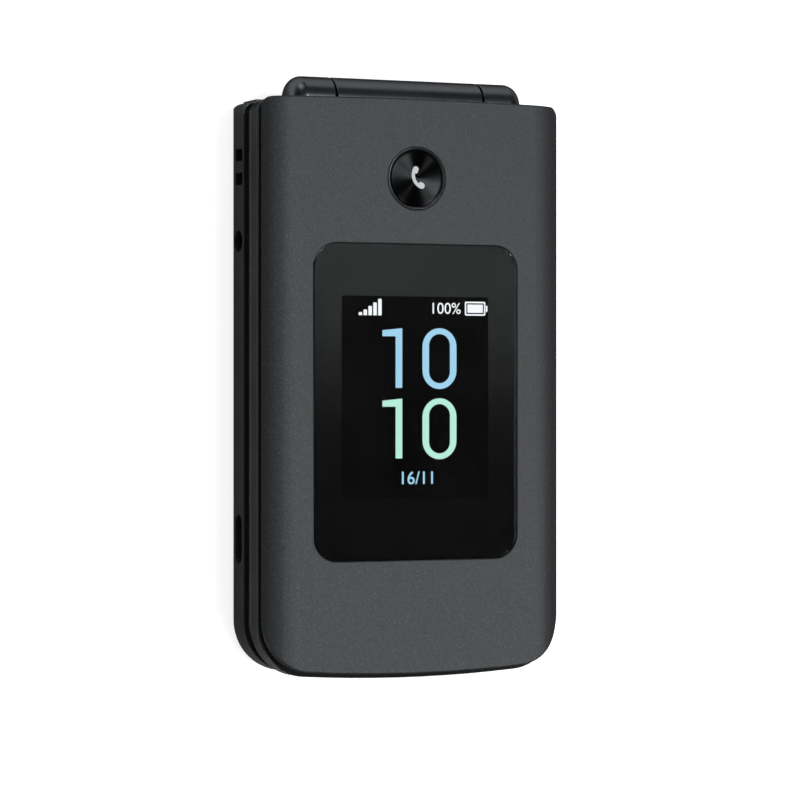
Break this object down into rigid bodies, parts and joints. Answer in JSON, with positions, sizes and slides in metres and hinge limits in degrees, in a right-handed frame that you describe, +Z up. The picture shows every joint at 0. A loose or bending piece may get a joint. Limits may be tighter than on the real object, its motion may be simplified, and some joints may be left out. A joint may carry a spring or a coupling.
{
  "type": "flip phone",
  "caption": "Flip mobile phone, closed: keypad half with ports and removable battery door, and a lid with outer display window and round quick call button, joined by a barrel hinge.",
  "frame": {"origin": "under the middle of the closed phone, on the flat back that it rests on", "axes": "+X across the phone to its right side seen from the lid, +Y along it towards the hinge, +Z up from the back through the lid"},
  "size_m": [0.0574, 0.1044, 0.0175],
  "materials": {
    "graphite_paint": "satin graphite metallic paint with fine flakes",
    "lid_plastic": "fine satin moulded plastic, dark grey",
    "shell_plastic": "fine matt moulded plastic, dark grey",
    "panel_plastic": "smooth black moulded plastic",
    "key_plastic": "satin moulded plastic with light printed legends",
    "call_green": "satin green plastic",
    "end_red": "satin red plastic",
    "ring_silver": "metallised plastic",
    "window_glass": "polished, tinted clear plastic",
    "display_black": "display module in a dark frame",
    "button_black": "black anodised aluminium with turned grain",
    "trim_grey": "anodised aluminium",
    "board_green": "green solder mask on glass-fibre board",
    "steel": "plain stainless or plated steel",
    "dome_film": "clear film with steel domes",
    "black_plastic": "matt black moulded plastic",
    "lens_glass": "coated camera lens",
    "contact_gold": "gold-plated contacts",
    "cell_wrap": "printed wrap over an aluminium cell",
    "bush_plastic": "natural acetal",
    "flex_amber": "amber polyimide flexible circuit",
    "bumper_rubber": "soft black rubber",
    "bronze": "sintered bronze"
  },
  "bodies": {
    "base": {"base_frame": "shell_plastic", "keypad_panel": "panel_plastic", "main_board": "board_green", "dome_sheet": "dome_film", "shield_can": "steel", "usb_port": "steel", "audio_jack": "black_plastic", "loudspeaker": "black_plastic", "camera_module": "black_plastic", "camera_trim": "trim_grey", "camera_lens": "lens_glass", "microphone": "steel", "vibration_motor": "steel", "antenna": "contact_gold", "battery": "cell_wrap", "battery_contacts": "contact_gold", "sim_holder": "steel", "base_screws": "steel", "hinge_pin": "steel", "hinge_bush": "bush_plastic", "base_flex": "flex_amber"},
    "lid": {"lid_cover": "graphite_paint", "lid_frame": "lid_plastic", "window_lens": "window_glass", "outer_display": "display_black", "button_ring": "trim_grey", "quick_call_switch": "steel", "lid_board": "board_green", "main_lens": "window_glass", "main_display": "display_black", "earpiece": "black_plastic", "lid_magnet": "steel", "lid_bumpers": "bumper_rubber", "lid_screws": "steel", "hinge_can": "steel", "hinge_spring": "steel", "hinge_follower": "bronze", "display_flex": "flex_amber"},
    "quick_call_button": {"quick_call_button": "button_black"},
    "battery_door": {"battery_door": "shell_plastic"},
    "vibration_weight": {"vibration_weight": "steel"},
    "volume_rocker": {"volume_rocker": "black_plastic"},
    "nav_ring": {"nav_ring": "ring_silver"},
    "ok_key": {"ok_key": "key_plastic"},
    "soft_key_left": {"soft_key_left": "key_plastic"},
    "soft_key_right": {"soft_key_right": "key_plastic"},
    "call_key": {"call_key": "call_green"},
    "end_key": {"end_key": "end_red"},
    "key_1": {"key_1": "key_plastic"},
    "key_2": {"key_2": "key_plastic"},
    "key_3": {"key_3": "key_plastic"},
    "key_4": {"key_4": "key_plastic"},
    "key_5": {"key_5": "key_plastic"},
    "key_6": {"key_6": "key_plastic"},
    "key_7": {"key_7": "key_plastic"},
    "key_8": {"key_8": "key_plastic"},
    "key_9": {"key_9": "key_plastic"},
    "key_star": {"key_star": "key_plastic"},
    "key_0": {"key_0": "key_plastic"},
    "key_hash": {"key_hash": "key_plastic"}
  },
  "joints": [
    {"name": "lid_hinge", "type": "hinge", "parent": "base", "child": "lid", "pos_m": [0, 0.04825, 0.01119], "axis": [-1, 0, 0], "range_deg": [0, 160]},
    {"name": "quick_call_press", "type": "slide", "parent": "lid", "child": "quick_call_button", "axis": [0, 0, -1], "range_m": [0, 0.00035], "stiffness_N_per_m": 1000},
    {"name": "ok_key_press", "type": "slide", "parent": "base", "child": "ok_key", "axis": [0, 0, -1], "range_m": [0, 0.0003], "stiffness_N_per_m": 1000},
    {"name": "soft_key_left_press", "type": "slide", "parent": "base", "child": "soft_key_left", "axis": [0, 0, -1], "range_m": [0, 0.0003], "stiffness_N_per_m": 1000},
    {"name": "soft_key_right_press", "type": "slide", "parent": "base", "child": "soft_key_right", "axis": [0, 0, -1], "range_m": [0, 0.0003], "stiffness_N_per_m": 1000},
    {"name": "call_key_press", "type": "slide", "parent": "base", "child": "call_key", "axis": [0, 0, -1], "range_m": [0, 0.0003], "stiffness_N_per_m": 1000},
    {"name": "end_key_press", "type": "slide", "parent": "base", "child": "end_key", "axis": [0, 0, -1], "range_m": [0, 0.0003], "stiffness_N_per_m": 1000},
    {"name": "key_1_press", "type": "slide", "parent": "base", "child": "key_1", "axis": [0, 0, -1], "range_m": [0, 0.0003], "stiffness_N_per_m": 1000},
    {"name": "key_2_press", "type": "slide", "parent": "base", "child": "key_2", "axis": [0, 0, -1], "range_m": [0, 0.0003], "stiffness_N_per_m": 1000},
    {"name": "key_3_press", "type": "slide", "parent": "base", "child": "key_3", "axis": [0, 0, -1], "range_m": [0, 0.0003], "stiffness_N_per_m": 1000},
    {"name": "key_4_press", "type": "slide", "parent": "base", "child": "key_4", "axis": [0, 0, -1], "range_m": [0, 0.0003], "stiffness_N_per_m": 1000},
    {"name": "key_5_press", "type": "slide", "parent": "base", "child": "key_5", "axis": [0, 0, -1], "range_m": [0, 0.0003], "stiffness_N_per_m": 1000},
    {"name": "key_6_press", "type": "slide", "parent": "base", "child": "key_6", "axis": [0, 0, -1], "range_m": [0, 0.0003], "stiffness_N_per_m": 1000},
    {"name": "key_7_press", "type": "slide", "parent": "base", "child": "key_7", "axis": [0, 0, -1], "range_m": [0, 0.0003], "stiffness_N_per_m": 1000},
    {"name": "key_8_press", "type": "slide", "parent": "base", "child": "key_8", "axis": [0, 0, -1], "range_m": [0, 0.0003], "stiffness_N_per_m": 1000},
    {"name": "key_9_press", "type": "slide", "parent": "base", "child": "key_9", "axis": [0, 0, -1], "range_m": [0, 0.0003], "stiffness_N_per_m": 1000},
    {"name": "key_star_press", "type": "slide", "parent": "base", "child": "key_star", "axis": [0, 0, -1], "range_m": [0, 0.0003], "stiffness_N_per_m": 1000},
    {"name": "key_0_press", "type": "slide", "parent": "base", "child": "key_0", "axis": [0, 0, -1], "range_m": [0, 0.0003], "stiffness_N_per_m": 1000},
    {"name": "key_hash_press", "type": "slide", "parent": "base", "child": "key_hash", "axis": [0, 0, -1], "range_m": [0, 0.0003], "stiffness_N_per_m": 1000},
    {"name": "nav_rock", "type": "hinge", "parent": "base", "child": "nav_ring", "pos_m": [0, 0.0253, 0.0093], "axis": [1, 0, 0], "range_deg": [-1.2, 1.2], "stiffness_Nm_per_rad": 0.57},
    {"name": "volume_rock", "type": "hinge", "parent": "base", "child": "volume_rocker", "pos_m": [0.0272, 0.015, 0.0056], "axis": [0, 0, 1], "range_deg": [-1.2, 1.2], "stiffness_Nm_per_rad": 0.5},
    {"name": "vibration_spin", "type": "hinge", "parent": "base", "child": "vibration_weight", "pos_m": [0.0233, -0.024, 0.0043], "axis": [0, 1, 0], "continuous": true},
    {"name": "battery_door_removal", "type": "slide", "parent": "base", "child": "battery_door", "axis": [0, 0, -1], "range_m": [0, 0.025]}
  ]
}
